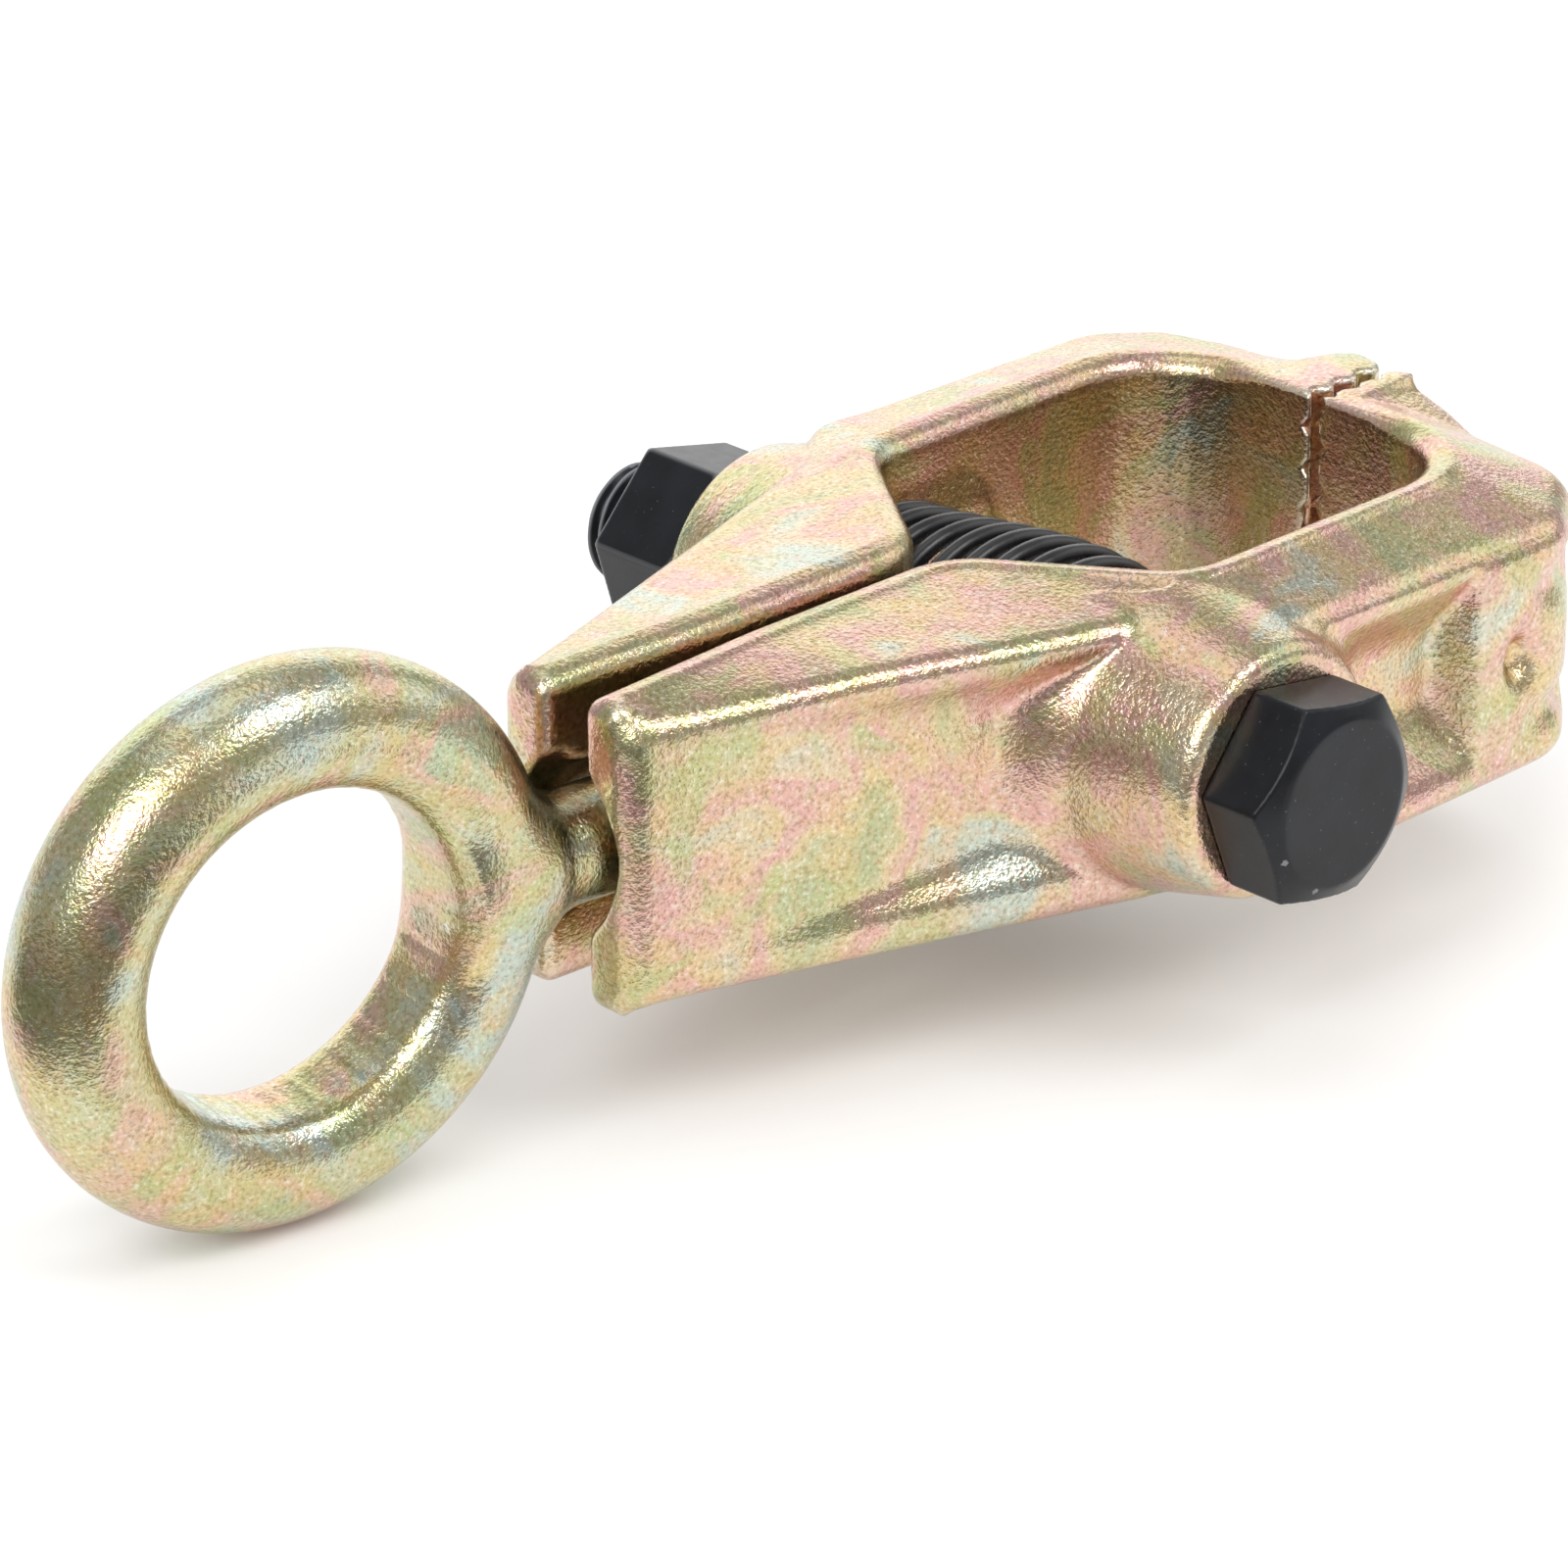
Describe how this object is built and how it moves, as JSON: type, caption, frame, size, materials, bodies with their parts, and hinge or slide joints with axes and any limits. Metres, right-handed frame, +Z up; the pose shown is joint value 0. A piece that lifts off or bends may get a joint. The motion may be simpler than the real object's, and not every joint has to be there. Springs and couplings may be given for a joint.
{
  "type": "pull clamp",
  "caption": "Self-tightening pull clamp for sheet metal: mirrored forged jaws on a cross bolt with spring and nut, and a ring eye whose wedge head runs between the jaw tails.",
  "frame": {"origin": "centre of the pull eye's bore", "axes": "+X from the pull eye towards the jaw tips, +Y along the cross bolt from its head to its nut, +Z up"},
  "size_m": [0.2711, 0.1525, 0.0876],
  "materials": {
    "zinc_forging": "yellow zinc plate over a shot-blasted drop forging",
    "zinc_eye": "yellow zinc plate over a shot-blasted drop forging with a sheared bore band",
    "black_oxide": "satin black oxide with worn edges",
    "spring_black": "gloss black spring wire"
  },
  "bodies": {
    "front_jaw_body": {"front_jaw": "zinc_forging", "jaw_spring": "spring_black"},
    "bolt_body": {"clamp_bolt": "black_oxide"},
    "nut_body": {"clamp_nut": "black_oxide"},
    "rear_jaw_body": {"rear_jaw": "zinc_forging"},
    "eye_body": {"pull_eye": "zinc_eye"}
  },
  "joints": [
    {"name": "bolt_turn", "type": "hinge", "parent": "front_jaw_body", "child": "bolt_body", "pos_m": [0.13999, -0.00657, -0.0006], "axis": [0, -1, 0], "range_deg": [0, 1296]},
    {"name": "jaw_opening", "type": "slide", "parent": "front_jaw_body", "child": "nut_body", "axis": [0, 1, 0], "range_m": [0, 0.009], "deforming": ["jaw_spring"]},
    {"name": "jaw_rock", "type": "hinge", "parent": "nut_body", "child": "rear_jaw_body", "pos_m": [0.13999, 0.04893, 0.0004], "axis": [0, 0, -1], "range_deg": [-0.4, 0.9]},
    {"name": "eye_pull", "type": "slide", "parent": "front_jaw_body", "child": "eye_body", "axis": [-0.9921, 0.1253, 0], "range_m": [-0.002, 0.0045]}
  ],
  "couplings": [
    {"joint": "bolt_turn", "follows": "jaw_opening", "rad_per_m": 2513.3},
    {"joint": "jaw_rock", "follows": "eye_pull", "rad_per_m": 3.45}
  ]
}
